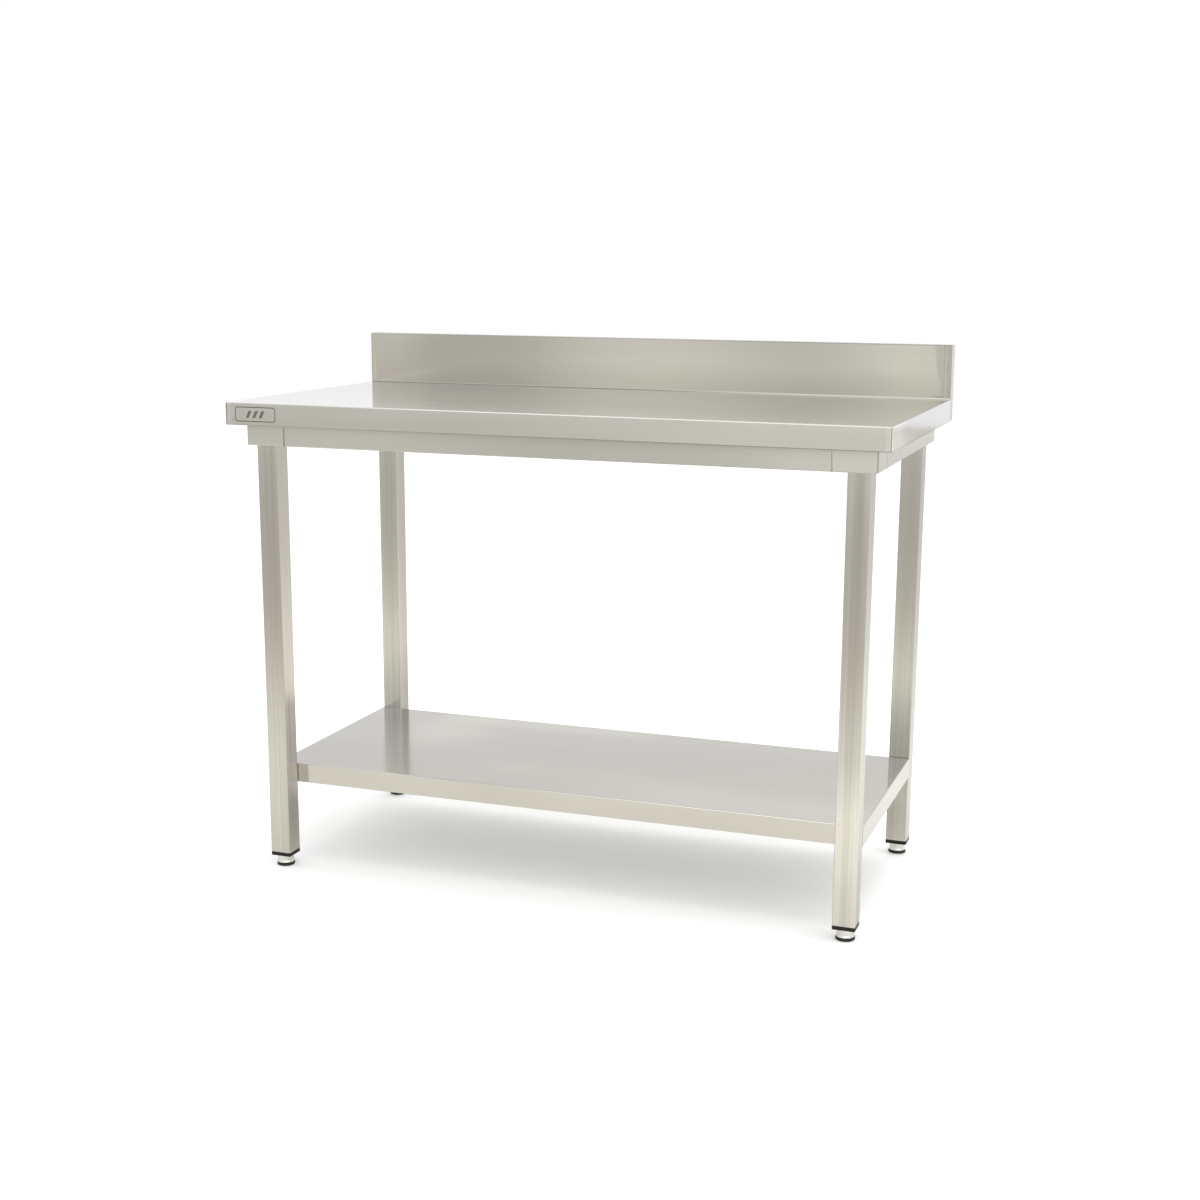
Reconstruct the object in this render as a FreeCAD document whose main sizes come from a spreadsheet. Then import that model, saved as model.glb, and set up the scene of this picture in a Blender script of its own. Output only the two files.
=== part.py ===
import FreeCAD, Part
import math
import os

import Sketcher
from FreeCAD import Vector, Placement, Rotation

# Stainless work table. Origin on the floor under the middle of the worktop,
# +X to the right, +Y towards the wall (the upstand side), +Z up. Millimetres.

doc = FreeCAD.newDocument("StainlessWorkTable")
sheet = doc.addObject("Spreadsheet::Sheet", "Sizes")

SIZES = [
    ("width", 1200.0, "worktop width"),
    ("depth", 600.0, "worktop depth, upstand included"),
    ("height", 880.0, "working height above the floor"),
    ("rise", 100.0, "upstand height above the worktop"),
    ("upthick", 25.0, "upstand thickness"),
    ("fascia", 40.0, "worktop edge depth"),
    ("lip", 15.0, "return lip under the edge"),
    ("gauge", 1.2, "worktop and rail sheet thickness"),
    ("bend", 2.0, "outer bend radius"),
    ("upbend", 2.0, "outer bend radius on top of the upstand"),
    ("cove", 1.2, "inner radius where the upstand leaves the worktop"),
    ("board", 18.0, "core board thickness"),
    ("slack", 0.6, "fitting slack round the core board"),
    ("inset", 26.5, "apron frame inset from the worktop edge"),
    ("framelow", 802.0, "underside of the apron frame"),
    ("railtop", 35.0, "upper rail flange"),
    ("raillow", 18.0, "lower rail flange"),
    ("bracket", 74.5, "corner bracket side"),
    ("bracketwall", 1.5, "corner bracket sheet"),
    ("tab", 18.0, "screw tab of the corner bracket"),
    ("seam", 0.7, "gap between rail and bracket"),
    ("legsize", 40.0, "leg tube side"),
    ("legwall", 1.2, "leg tube wall"),
    ("legcorner", 2.5, "leg tube corner radius"),
    ("leginset", 12.0, "leg face behind the apron face"),
    ("leglow", 28.5, "bottom end of the leg tube"),
    ("plugface", 7.2, "visible plug thickness"),
    ("plugdeep", 26.0, "plug length inside the tube"),
    ("plugwall", 2.0, "plug shell wall"),
    ("drum", 15.0, "foot drum radius"),
    ("drumflange", 15.8, "foot drum lower rim radius"),
    ("padradius", 16.8, "floor pad radius"),
    ("padthick", 5.5, "floor pad thickness"),
    ("stud", 5.0, "foot thread radius"),
    ("studtop", 62.0, "top of the foot thread"),
    ("nutradius", 8.0, "threaded insert radius"),
    ("shelfhigh", 196.0, "shelf surface above the floor"),
    ("shelfdrop", 37.0, "shelf edge depth"),
    ("shelfgauge", 1.0, "shelf sheet thickness"),
    ("shelflip", 12.0, "shelf return lip"),
    ("shelfgap", 1.0, "gap between shelf edge and leg"),
    ("boltline", 177.5, "height of the shelf bolts"),
    ("boltpitch", 10.0, "shelf bolt offset from the leg's middle"),
    ("bolt", 3.0, "shelf bolt radius"),
    ("clampline", 831.0, "height of the leg clamping screws"),
]
VALUES = {}
for row, (alias, value, note) in enumerate(SIZES, start=1):
    sheet.set("A%d" % row, note)
    sheet.set("B%d" % row, str(value))
    sheet.setAlias("B%d" % row, alias)
    VALUES[alias] = value
doc.recompute()


class Size:
    """A number together with the sheet expression it comes from."""

    def __init__(self, value, text):
        self.v = float(value)
        self.x = text

    def _join(self, other, sign, left):
        other = size(other)
        a, b = (self, other) if left else (other, self)
        if sign == "+":
            v = a.v + b.v
        elif sign == "-":
            v = a.v - b.v
        elif sign == "*":
            v = a.v * b.v
        else:
            v = a.v / b.v
        return Size(v, "(%s %s %s)" % (a.x, sign, b.x))

    def __add__(self, o):
        return self._join(o, "+", True)

    def __radd__(self, o):
        return self._join(o, "+", False)

    def __sub__(self, o):
        return self._join(o, "-", True)

    def __rsub__(self, o):
        return self._join(o, "-", False)

    def __mul__(self, o):
        return self._join(o, "*", True)

    def __rmul__(self, o):
        return self._join(o, "*", False)

    def __truediv__(self, o):
        return self._join(o, "/", True)

    def __neg__(self):
        return Size(-self.v, "(0 - %s)" % self.x)


def size(value):
    if isinstance(value, Size):
        return value
    if value < 0:
        return Size(value, "(0 - %.6f)" % -value)
    return Size(value, "%.6f" % value)


def S(alias):
    return Size(VALUES[alias], "Sizes.%s" % alias)


def new_body(label):
    body = doc.addObject("PartDesign::Body", label)
    body.Label = label
    if hasattr(body, "AllowCompound"):
        body.AllowCompound = True
    return body


def put(body, x=0, y=0, z=0, turn=0):
    """Place a body; turn is in degrees about Z."""
    x, y, z = size(x), size(y), size(z)
    body.Placement = Placement(Vector(x.v, y.v, z.v), Rotation(Vector(0, 0, 1), turn))
    body.setExpression("Placement.Base.x", x.x)
    body.setExpression("Placement.Base.y", y.x)
    body.setExpression("Placement.Base.z", z.x)


def plane_of(body, role):
    for item in body.Origin.OriginFeatures:
        if item.Role == role:
            return item
    raise ValueError(role)


def pin(sk, geo, point, x, y):
    for value, kind, axis in ((size(x), "X", -2), (size(y), "Y", -1)):
        if abs(value.v) < 1e-9:
            sk.addConstraint(Sketcher.Constraint("PointOnObject", geo, point, axis))
        else:
            n = sk.addConstraint(Sketcher.Constraint("Distance" + kind, -1, 1, geo, point, value.v))
            sk.setExpression("Constraints[%d]" % n, value.x)


def loop(sk, points):
    """Closed outline through fully pinned corners."""
    points = [(size(x), size(y)) for x, y in points]
    start = sk.GeometryCount
    n = len(points)
    for i in range(n):
        a, b = points[i], points[(i + 1) % n]
        sk.addGeometry(Part.LineSegment(Vector(a[0].v, a[1].v, 0), Vector(b[0].v, b[1].v, 0)), False)
    for i in range(n):
        sk.addConstraint(Sketcher.Constraint("Coincident", start + i, 2, start + (i + 1) % n, 1))
    for i in range(n):
        pin(sk, start + i, 1, points[i][0], points[i][1])


def ring(sk, x, y, radius):
    x, y, radius = size(x), size(y), size(radius)
    geo = sk.addGeometry(Part.Circle(Vector(x.v, y.v, 0), Vector(0, 0, 1), radius.v), False)
    pin(sk, geo, 3, x, y)
    n = sk.addConstraint(Sketcher.Constraint("Radius", geo, radius.v))
    sk.setExpression("Constraints[%d]" % n, radius.x)


def box(x0, y0, x1, y1):
    return [(x0, y0), (x1, y0), (x1, y1), (x0, y1)]


def hexagon(x, y, across):
    """Six corners of a hexagon with the given size across flats."""
    corner = size(across) / math.sqrt(3.0)
    return [(size(x) + corner * round(math.cos(math.radians(60 * k)), 6),
             size(y) + corner * round(math.sin(math.radians(60 * k)), 6)) for k in range(6)]


def new_sketch(body, name, role, offset):
    sk = body.newObject("Sketcher::SketchObject", name)
    sk.AttachmentSupport = [(plane_of(body, role), "")]
    sk.MapMode = "FlatFace"
    offset = size(offset)
    sk.AttachmentOffset = Placement(Vector(0, 0, offset.v), Rotation())
    sk.setExpression("AttachmentOffset.Base.z", offset.x)
    return sk


def volume_of(body):
    shape = body.Shape
    return 0.0 if shape.isNull() else shape.Volume


def extrude(kind, body, name, role, offset, length, loops=(), rings=(), back=False):
    """Pad or Pocket of a pinned sketch. The XZ plane looks along -Y, so an
    offset there is minus the Y coordinate and a pad grows towards -Y."""
    before = volume_of(body)
    sk = new_sketch(body, name + "Sketch", role, offset)
    for points in loops:
        loop(sk, points)
    for x, y, radius in rings:
        ring(sk, x, y, radius)
    doc.recompute()
    feature = body.newObject("PartDesign::" + kind, name)
    feature.Profile = sk
    feature.Reversed = back
    length = size(length)
    feature.Length = length.v
    feature.setExpression("Length", length.x)
    doc.recompute()
    body.Tip = feature
    after = volume_of(body)
    if kind == "Pad" and after <= before + 1e-6:
        raise RuntimeError("%s %s adds nothing" % (body.Label, name))
    if kind == "Pocket" and after >= before - 1e-6:
        raise RuntimeError("%s %s cuts nothing" % (body.Label, name))
    return feature


def pad(*args, **kw):
    return extrude("Pad", *args, **kw)


def pocket(*args, **kw):
    return extrude("Pocket", *args, **kw)


def revolve(body, name, points, cut=False):
    before = volume_of(body)
    sk = new_sketch(body, name + "Sketch", "XZ_Plane", 0)
    loop(sk, points)
    doc.recompute()
    feature = body.newObject("PartDesign::Groove" if cut else "PartDesign::Revolution", name)
    feature.Profile = sk
    feature.ReferenceAxis = (sk, ["V_Axis"])
    feature.Angle = 360.0
    doc.recompute()
    body.Tip = feature
    if abs(volume_of(body) - before) < 1e-6:
        raise RuntimeError("%s %s changes nothing" % (body.Label, name))
    return feature


def edges_at(shape, axis, places, tol=0.02):
    """Names of the straight edges parallel to axis (0, 1, 2) whose two other
    coordinates are one of the given places."""
    found = []
    others = [i for i in range(3) if i != axis]
    for number, edge in enumerate(shape.Edges, start=1):
        ends = [v.Point for v in edge.Vertexes]
        if len(ends) != 2 or edge.Curve.TypeId != "Part::GeomLine":
            continue
        step = ends[1] - ends[0]
        if abs(step[axis]) < 1e-6 or abs(step[others[0]]) + abs(step[others[1]]) > 1e-4:
            continue
        for place in places:
            if all(abs(ends[0][others[k]] - size(place[k]).v) < tol for k in (0, 1)):
                found.append("Edge%d" % number)
                break
    return found


def bend(body, name, radius, picks, kind="Fillet"):
    """Fillet or chamfer; picks is a list of (axis, [(a, b), ...])."""
    base = body.Tip
    names = []
    for axis, places in picks:
        got = edges_at(base.Shape, axis, places)
        if not got:
            raise RuntimeError("%s %s: no edge along %d at %s" % (
                body.Label, name, axis, [(size(a).v, size(b).v) for a, b in places]))
        names += got
    feature = body.newObject("PartDesign::" + kind, name)
    feature.Base = (base, names)
    radius = size(radius)
    if kind == "Fillet":
        feature.Radius = radius.v
        feature.setExpression("Radius", radius.x)
    else:
        feature.Size = radius.v
        feature.setExpression("Size", radius.x)
    doc.recompute()
    body.Tip = feature
    if body.Shape.isNull() or not body.Shape.isValid():
        raise RuntimeError("%s %s failed" % (body.Label, name))
    return feature


# Common lines
HW, HD = S("width") / 2, S("depth") / 2
TOP = S("height")
FASCIA_LOW = TOP - S("fascia")
G = S("gauge")
UP_FRONT = HD - S("upthick")
UP_TOP = TOP + S("rise")
BOARD_LOW = TOP - G - S("board")
AX, AY = HW - S("inset"), HD - S("inset")
LX = AX - S("leginset") - S("legsize") / 2
LY = AY - S("leginset") - S("legsize") / 2
LEG_TOP = BOARD_LOW - S("bracketwall") - 0.3
CORNERS = [("front_left", -1, -1, 0), ("front_right", 1, -1, 90),
           ("rear_right", 1, 1, 180), ("rear_left", -1, 1, 270)]

# ---------------------------------------------------------------------------
# Worktop: one folded sheet with edges, return lips and a boxed upstand
top = new_body("worktop_sheet")
pad(top, "TopBlock", "XY_Plane", FASCIA_LOW, S("fascia"), [box(-HW, -HD, HW, UP_FRONT)])
bend(top, "TopBends", S("bend"), [(0, [(-HD, TOP)]), (1, [(-HW, TOP), (HW, TOP)])])
pad(top, "UpstandBlock", "XY_Plane", FASCIA_LOW, UP_TOP - FASCIA_LOW, [box(-HW, UP_FRONT, HW, HD)])
bend(top, "UpstandBends", S("upbend"), [(0, [(UP_FRONT, UP_TOP), (HD, UP_TOP)])])

# quarter-round cove in the corner between worktop and upstand
cove = S("cove")
sk = new_sketch(top, "CoveSketch", "YZ_Plane", -(HW - S("bend")))
y1, z1 = UP_FRONT + 0.2, TOP - 0.2
y0, z0 = UP_FRONT - cove, TOP + cove
corner = [(y0, z1), (y1, z1), (y1, z0), (UP_FRONT, z0)]
for i in range(3):
    a, b = corner[i], corner[i + 1]
    sk.addGeometry(Part.LineSegment(Vector(a[0].v, a[1].v, 0), Vector(b[0].v, b[1].v, 0)), False)
arc = Part.ArcOfCircle(Part.Circle(Vector(y0.v, z0.v, 0), Vector(0, 0, 1), cove.v), -math.pi / 2, 0.0)
sk.addGeometry(arc, False)
sk.addGeometry(Part.LineSegment(Vector(y0.v, TOP.v, 0), Vector(y0.v, z1.v, 0)), False)
sk.addConstraint(Sketcher.Constraint("Coincident", 0, 2, 1, 1))
sk.addConstraint(Sketcher.Constraint("Coincident", 1, 2, 2, 1))
sk.addConstraint(Sketcher.Constraint("Coincident", 2, 2, 3, 2))
sk.addConstraint(Sketcher.Constraint("Coincident", 3, 1, 4, 1))
sk.addConstraint(Sketcher.Constraint("Coincident", 4, 2, 0, 1))
pin(sk, 0, 1, y0, z1)
pin(sk, 1, 1, y1, z1)
pin(sk, 2, 1, y1, z0)
pin(sk, 2, 2, UP_FRONT, z0)
pin(sk, 3, 3, y0, z0)
sk.addConstraint(Sketcher.Constraint("Vertical", 4))
doc.recompute()
feature = top.newObject("PartDesign::Pad", "Cove")
feature.Profile = sk
length = 2 * HW - 2 * S("bend")
feature.Length = length.v
feature.setExpression("Length", length.x)
doc.recompute()
top.Tip = feature

pocket(top, "TrayHollow", "XY_Plane", FASCIA_LOW, S("fascia") - G,
       [box(-(HW - G), -(HD - G), HW - G, UP_FRONT + G + 0.1)], back=True)
pocket(top, "UpstandHollow", "XY_Plane", FASCIA_LOW, UP_TOP - FASCIA_LOW - G,
       [box(-(HW + 1), UP_FRONT + G, HW + 1, HD - G)], back=True)
pad(top, "ReturnLips", "XY_Plane", FASCIA_LOW, G,
    [box(-(HW - G / 2), -(HD - G / 2), HW - G / 2, HD - G / 2),
     box(-(HW - S("lip")), -(HD - S("lip")), HW - S("lip"), HD - S("lip"))])
pocket(top, "EndCuts", "XY_Plane", FASCIA_LOW - 1, UP_TOP - FASCIA_LOW + 2,
       [box(-(HW + 1), UP_FRONT - 0.2, -(HW - G), HD + 1),
        box(HW - G, UP_FRONT - 0.2, HW + 1, HD + 1)], back=True)
bend(top, "LipBends", 0.6, [(0, [(-HD, FASCIA_LOW)])])

# Plates that close both ends of the upstand
for side, sign in (("left", -1), ("right", 1)):
    cap = new_body("upstand_end_cap_" + side)
    pad(cap, "Plate", "YZ_Plane", HW - G if sign > 0 else -HW, G,
        [box(UP_FRONT, FASCIA_LOW, HD, UP_TOP)])
    bend(cap, "Corners", S("upbend"), [(0, [(UP_FRONT, UP_TOP), (HD, UP_TOP)])])

# Board glued under the sheet
core = new_body("core_board")
edge = G + S("slack")
pad(core, "Board", "XY_Plane", BOARD_LOW, S("board"), [box(-(HW - edge), -(HD - edge), HW - edge, HD - edge)])

# ---------------------------------------------------------------------------
# Apron rails: C channels, open towards the middle, screwed up into the board
long_rail = 2 * AX - 2 * S("bracket") - 2 * S("seam")
short_rail = 2 * AY - 2 * S("bracket") - 2 * S("seam")
RAIL_HIGH = BOARD_LOW - S("framelow")
SCREWS = {}
for name, length, turn, x, y, holes in (
        ("front_rail", long_rail, 0, 0, -AY, (-0.42, -0.14, 0.14, 0.42)),
        ("right_rail", short_rail, 90, AX, 0, (-0.33, 0.33)),
        ("rear_rail", long_rail, 180, 0, AY, (-0.42, -0.14, 0.14, 0.42)),
        ("left_rail", short_rail, 270, -AX, 0, (-0.33, 0.33))):
    rail = new_body(name)
    low, high = S("framelow"), BOARD_LOW
    pad(rail, "Channel", "YZ_Plane", -length / 2, length,
        [[(0, low), (S("raillow"), low), (S("raillow"), low + G), (G, low + G), (G, high - G),
          (S("railtop"), high - G), (S("railtop"), high), (0, high)]])
    bend(rail, "OuterBends", S("bend"), [(0, [(0, low), (0, high)])])
    bend(rail, "InnerBends", S("bend") - G, [(0, [(G, low + G), (G, high - G)])])
    pocket(rail, "ScrewHoles", "XY_Plane", high + 1, G + 2,
           rings=[(length * h, S("railtop") - 8, 2.6) for h in holes])
    put(rail, x, y, 0, turn)

# Corner brackets: folded boxes that hold the leg heads
BR, BW = S("bracket"), S("bracketwall")
near, far = S("leginset") - 0.3, S("leginset") + S("legsize") + 0.3
for name, sx, sy, turn in CORNERS:
    br = new_body("corner_bracket_" + name)
    low = S("framelow")
    pad(br, "Box", "XY_Plane", low, RAIL_HIGH, [box(0, 0, BR, BR)])
    bend(br, "Bends", S("bend"), [(2, [(0, 0)]), (0, [(0, low)]), (1, [(0, low)])])
    pocket(br, "Inside", "XY_Plane", low, RAIL_HIGH - BW, [box(BW, BW, BR - BW, BR - BW)], back=True)
    pad(br, "FloorPlate", "XY_Plane", low, BW,
        [box(BW * 0.8, BW * 0.8, BR - BW / 2, BR - BW / 2), box(near, near, far, far)])
    pad(br, "Tabs", "XY_Plane", BOARD_LOW - BW, BW,
        [box(38, BR - 0.2, BR - BW, BR + S("tab")), box(BR - 0.2, 38, BR + S("tab"), BR - BW)])
    pocket(br, "TabHoles", "XY_Plane", BOARD_LOW + 1, BW + 2,
           rings=[(55.5, BR + S("tab") / 2, 2.6), (BR + S("tab") / 2, 55.5, 2.6)])
    middle = S("leginset") + S("legsize") / 2
    pocket(br, "ClampHoleX", "YZ_Plane", BR + 1, BW + 2, rings=[(middle, S("clampline"), 4.1)])
    pocket(br, "ClampHoleY", "XZ_Plane", -(BR + 1), BW + 2, rings=[(middle, S("clampline"), 4.1)], back=True)
    put(br, sx * AX, sy * AY, 0, turn)

# Stiffener across the board, a hat section running front to rear
bar = new_body("top_crossbar")
half = AY - S("railtop") - 2
low = BOARD_LOW - 24
pad(bar, "Hat", "XZ_Plane", -half, 2 * half,
    [[(-42, BOARD_LOW - G), (-22 - G, BOARD_LOW - G), (-22 - G, low), (22 + G, low), (22 + G, BOARD_LOW - G),
      (42, BOARD_LOW - G), (42, BOARD_LOW), (22, BOARD_LOW), (22, low + G), (-22, low + G), (-22, BOARD_LOW),
      (-42, BOARD_LOW)]])
bend(bar, "Bends", 2.0, [(1, [(-22 - G, low), (22 + G, low)])])
pocket(bar, "ScrewHoles", "XY_Plane", BOARD_LOW + 1, G + 2,
       rings=[(sx * 32.5, sy * 200, 2.6) for sx in (-1, 1) for sy in (-1, 1)])

# ---------------------------------------------------------------------------
# Legs: square tube with holes for the shelf rivet nuts in the inner face
L2 = S("legsize") / 2
for name, sx, sy, turn in CORNERS:
    leg = new_body("leg_" + name)
    wall = S("legwall")
    pad(leg, "Tube", "XY_Plane", S("leglow"), LEG_TOP - S("leglow"),
        [box(-L2, -L2, L2, L2), box(-(L2 - wall), -(L2 - wall), L2 - wall, L2 - wall)])
    bend(leg, "OuterCorners", S("legcorner"), [(2, [(-L2, -L2), (L2, -L2), (L2, L2), (-L2, L2)])])
    i2 = L2 - wall
    bend(leg, "InnerCorners", S("legcorner") - wall, [(2, [(-i2, -i2), (i2, -i2), (i2, i2), (-i2, i2)])])
    pocket(leg, "NutHoles", "XZ_Plane", -(L2 + 1), wall + 2,
           rings=[(-S("boltpitch"), S("boltline"), 4.6), (S("boltpitch"), S("boltline"), 4.6)], back=True)
    put(leg, sx * LX, sy * LY, 0, 0 if sy < 0 else 180)

# Plugs in the leg ends
for name, sx, sy, turn in CORNERS:
    plug = new_body("leg_end_plug_" + name)
    low = S("leglow") - S("plugface")
    out = L2 - S("legwall") - 0.3
    inner = out - S("plugwall")
    deep = S("plugdeep")
    pad(plug, "Face", "XY_Plane", low, S("plugface"), [box(-L2, -L2, L2, L2)])
    bend(plug, "FaceCorners", S("legcorner"), [(2, [(-L2, -L2), (L2, -L2), (L2, L2), (-L2, L2)])])
    pad(plug, "Shell", "XY_Plane", S("leglow"), deep,
        [box(-out, -out, out, out), box(-inner, -inner, inner, inner)])
    bend(plug, "ShellCorners", 1.6, [(2, [(-out, -out), (out, -out), (out, out), (-out, out)])])
    pad(plug, "Ribs", "XY_Plane", S("leglow"), deep - 2,
        [box(-1, -inner - 0.5, 1, inner + 0.5)])
    pad(plug, "CrossRibs", "XY_Plane", S("leglow"), deep - 2,
        [box(-inner - 0.5, -1, inner + 0.5, 1)])
    pad(plug, "Boss", "XY_Plane", S("leglow"), deep, rings=[(0, 0, S("nutradius") + 2.5)])
    pocket(plug, "InsertSeat", "XY_Plane", S("leglow") + deep, 20, rings=[(0, 0, S("nutradius"))])
    pocket(plug, "StudHole", "XY_Plane", S("leglow") + deep, deep + S("plugface") + 1,
           rings=[(0, 0, S("stud") + 0.4)])
    put(plug, sx * LX, sy * LY, 0, turn)

# Threaded inserts in the plugs
ins = new_body("foot_thread_inserts")
pad(ins, "Inserts", "XY_Plane", S("leglow") + S("plugdeep") - 20, 20,
    rings=[(sx * LX, sy * LY, r) for _, sx, sy, _ in CORNERS
           for r in (S("nutradius") - 0.02, S("stud") + 0.06)])

# Feet: turned drum with thread, standing in a floor pad that doesn't turn
for name, sx, sy, turn in CORNERS:
    spin = new_body("foot_spindle_" + name)
    p, d, f = S("padthick"), S("drum"), S("drumflange")
    cap_z = S("leglow") - S("plugface") - 0.2
    st = S("stud")
    revolve(spin, "Turned", [
        (0, p - 2.8), (6, p - 2.8), (6, p + 0.05), (f - 0.5, p + 0.05), (f, p + 0.6), (f, p + 1.8),
        (d + 0.15, p + 4.5), (d, p + 7.5), (d, cap_z - 0.8),
        (d - 0.8, cap_z), (st, cap_z), (st, S("studtop") - 1.2), (st - 1.2, S("studtop")), (0, S("studtop"))])
    put(spin, sx * LX, sy * LY, 0, 0)
    foot = new_body("foot_pad_" + name)
    r = S("padradius")
    revolve(foot, "Pad", [
        (0, 0), (r - 1.2, 0), (r, 1.2), (r, p - 1.4), (r - 1.4, p), (6.08, p), (6.08, p - 3.0), (0, p - 3.0)])
    put(foot, sx * LX, sy * LY, 0, 0)

# ---------------------------------------------------------------------------
# Shelf: tray folded down on four sides, between front and rear legs
shelf = new_body("shelf_sheet")
SX = LX + L2
SY = LY - L2 - S("shelfgap")
st_, sd = S("shelfgauge"), S("shelfdrop")
sh = S("shelfhigh")
pad(shelf, "Block", "XY_Plane", sh - sd, sd, [box(-SX, -SY, SX, SY)])
bend(shelf, "Bends", S("bend"), [(0, [(-SY, sh), (SY, sh)]), (1, [(-SX, sh), (SX, sh)])])
pocket(shelf, "Hollow", "XY_Plane", sh - sd, sd - st_,
       [box(-(SX - st_), -(SY - st_), SX - st_, SY - st_)], back=True)
pad(shelf, "Lips", "XY_Plane", sh - sd, st_,
    [box(-(SX - st_ / 2), -(SY - st_ / 2), SX - st_ / 2, SY - st_ / 2),
     box(-(SX - S("shelflip")), -(SY - S("shelflip")), SX - S("shelflip"), SY - S("shelflip"))])
bend(shelf, "LipBends", 0.7, [(0, [(-SY, sh - sd), (SY, sh - sd)])])
bolts = [(sx * LX + k * S("boltpitch"), S("boltline")) for sx in (-1, 1) for k in (-1, 1)]
pocket(shelf, "BoltHolesFront", "XZ_Plane", SY + 1, st_ + 2, rings=[(x, z, S("bolt") + 0.3) for x, z in bolts])
pocket(shelf, "BoltHolesRear", "XZ_Plane", -(SY + 1), st_ + 2,
       rings=[(x, z, S("bolt") + 0.3) for x, z in bolts], back=True)

brace = new_body("shelf_stiffener")
half = SX - 14
low = sh - st_ - 22
high = sh - st_
g = st_
pad(brace, "Hat", "YZ_Plane", -half, 2 * half,
    [[(-45, high - g), (-25 - g, high - g), (-25 - g, low), (25 + g, low), (25 + g, high - g), (45, high - g),
      (45, high), (25, high), (25, low + g), (-25, low + g), (-25, high), (-45, high)]])
bend(brace, "Bends", 1.8, [(0, [(-25 - g, low), (25 + g, low)])])

# ---------------------------------------------------------------------------
# Fasteners, one group for each kind
def upward_screws(label, places, seat, head, shank, head_high, reach):
    """Pan head screws driven upwards; seat is the sheet's underside."""
    group = new_body(label)
    pad(group, "Heads", "XY_Plane", seat - head_high, head_high, rings=[(x, y, head) for x, y in places])
    pad(group, "Shanks", "XY_Plane", seat - head_high / 2, reach + head_high / 2,
        rings=[(x, y, shank) for x, y in places])
    for n in (0, 1):
        w = 0.5
        pocket(group, "Recess%d" % n, "XY_Plane", seat - head_high, head_high * 0.55,
               [box(x - (2.4 if n else w), y - (w if n else 2.4), x + (2.4 if n else w), y + (w if n else 2.4))
                for x, y in places], back=True)
    return group


inner = S("railtop") - 8
rail_places = [(long_rail * h, s * (AY - inner)) for s in (-1, 1) for h in (-0.42, -0.14, 0.14, 0.42)]
rail_places += [(s * (AX - inner), short_rail * h) for s in (-1, 1) for h in (-0.33, 0.33)]
upward_screws("rail_board_screws", rail_places, BOARD_LOW - G, 4.2, 2.2, 2.6, 15)
mid = BR + S("tab") / 2
bracket_places = [(sx * (AX - a), sy * (AY - b)) for sx in (-1, 1) for sy in (-1, 1)
                  for a, b in ((size(55.5), mid), (mid, size(55.5)))]
upward_screws("bracket_board_screws", bracket_places, BOARD_LOW - BW, 4.2, 2.2, 2.6, 15)
upward_screws("crossbar_screws", [(size(sx * 32.5), size(sy * 200)) for sx in (-1, 1) for sy in (-1, 1)],
              BOARD_LOW - G, 4.2, 2.2, 2.6, 15)

# Nuts welded inside the brackets and the screws that clamp the legs
weld = new_body("bracket_weld_nuts")
clamp = new_body("leg_clamp_screws")
middle = S("leginset") + S("legsize") / 2
face = S("leginset") + S("legsize")
for n, (name, sx, sy, turn) in enumerate(CORNERS):
    cy = sy * (AY - middle)
    cx = sx * (AX - middle)
    inside_x, inside_y = AX - (BR - BW), AY - (BR - BW)
    leg_x, leg_y = AX - face, AY - face
    z = S("clampline")
    nut = 6.5
    # screws along X, then along Y; the YZ plane looks along +X, the XZ plane along -Y
    x_from = inside_x if sx > 0 else -(inside_x + nut)
    pad(weld, "NutX%d" % n, "YZ_Plane", x_from, nut, [hexagon(cy, z, 13)], [(cy, z, 4.05)])
    y_from = -(inside_y + nut) if sy > 0 else inside_y
    pad(weld, "NutY%d" % n, "XZ_Plane", y_from, nut, [hexagon(cx, z, 13)], [(cx, z, 4.05)])
    long_screw = 25
    x_from = leg_x - long_screw if sx > 0 else -leg_x
    pad(clamp, "ScrewX%d" % n, "YZ_Plane", x_from, long_screw, rings=[(cy, z, 3.98)])
    y_from = -leg_y if sy > 0 else leg_y - long_screw
    pad(clamp, "ScrewY%d" % n, "XZ_Plane", y_from, long_screw, rings=[(cx, z, 3.98)])

# Shelf bolts, washers and rivet nuts
bolt_set = new_body("shelf_bolts")
washers = new_body("shelf_washers")
nuts = new_body("shelf_rivet_nuts")
inside = SY - st_
for tag, s in (("Front", -1), ("Rear", 1)):
    # s = -1: the front row; the XZ plane looks along -Y
    def at(y):
        return -y
    # the washer lies on the flange's inner face, the head on the washer
    w0 = at(s * (inside - 1.2)) if s < 0 else at(inside)
    pad(washers, "Washer" + tag, "XZ_Plane", w0, 1.2, rings=[(x, z, r) for x, z in bolts for r in (6.2, 3.2)])
    h0 = at(s * (inside - 1.2 - 4.0)) if s < 0 else at(inside - 1.2)
    pad(bolt_set, "Head" + tag, "XZ_Plane", h0, 4.0, [hexagon(x, z, 10) for x, z in bolts])
    b0 = at(s * (inside - 1.4)) if s < 0 else at(LY - L2 + 12)
    pad(bolt_set, "Shank" + tag, "XZ_Plane", b0, (LY - L2 + 12) - (inside - 1.4),
        rings=[(x, z, S("bolt") - 0.02) for x, z in bolts])
    f0 = at(s * (LY - L2 - 0.95)) if s < 0 else at(LY - L2)
    pad(nuts, "Flange" + tag, "XZ_Plane", f0, 0.95, rings=[(x, z, r) for x, z in bolts for r in (6.5, 3.05)])
    t0 = at(s * (LY - L2 - 0.2)) if s < 0 else at(LY - L2 + 14)
    pad(nuts, "Barrel" + tag, "XZ_Plane", t0, 14.2, rings=[(x, z, r) for x, z in bolts for r in (4.5, 3.05)])

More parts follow.
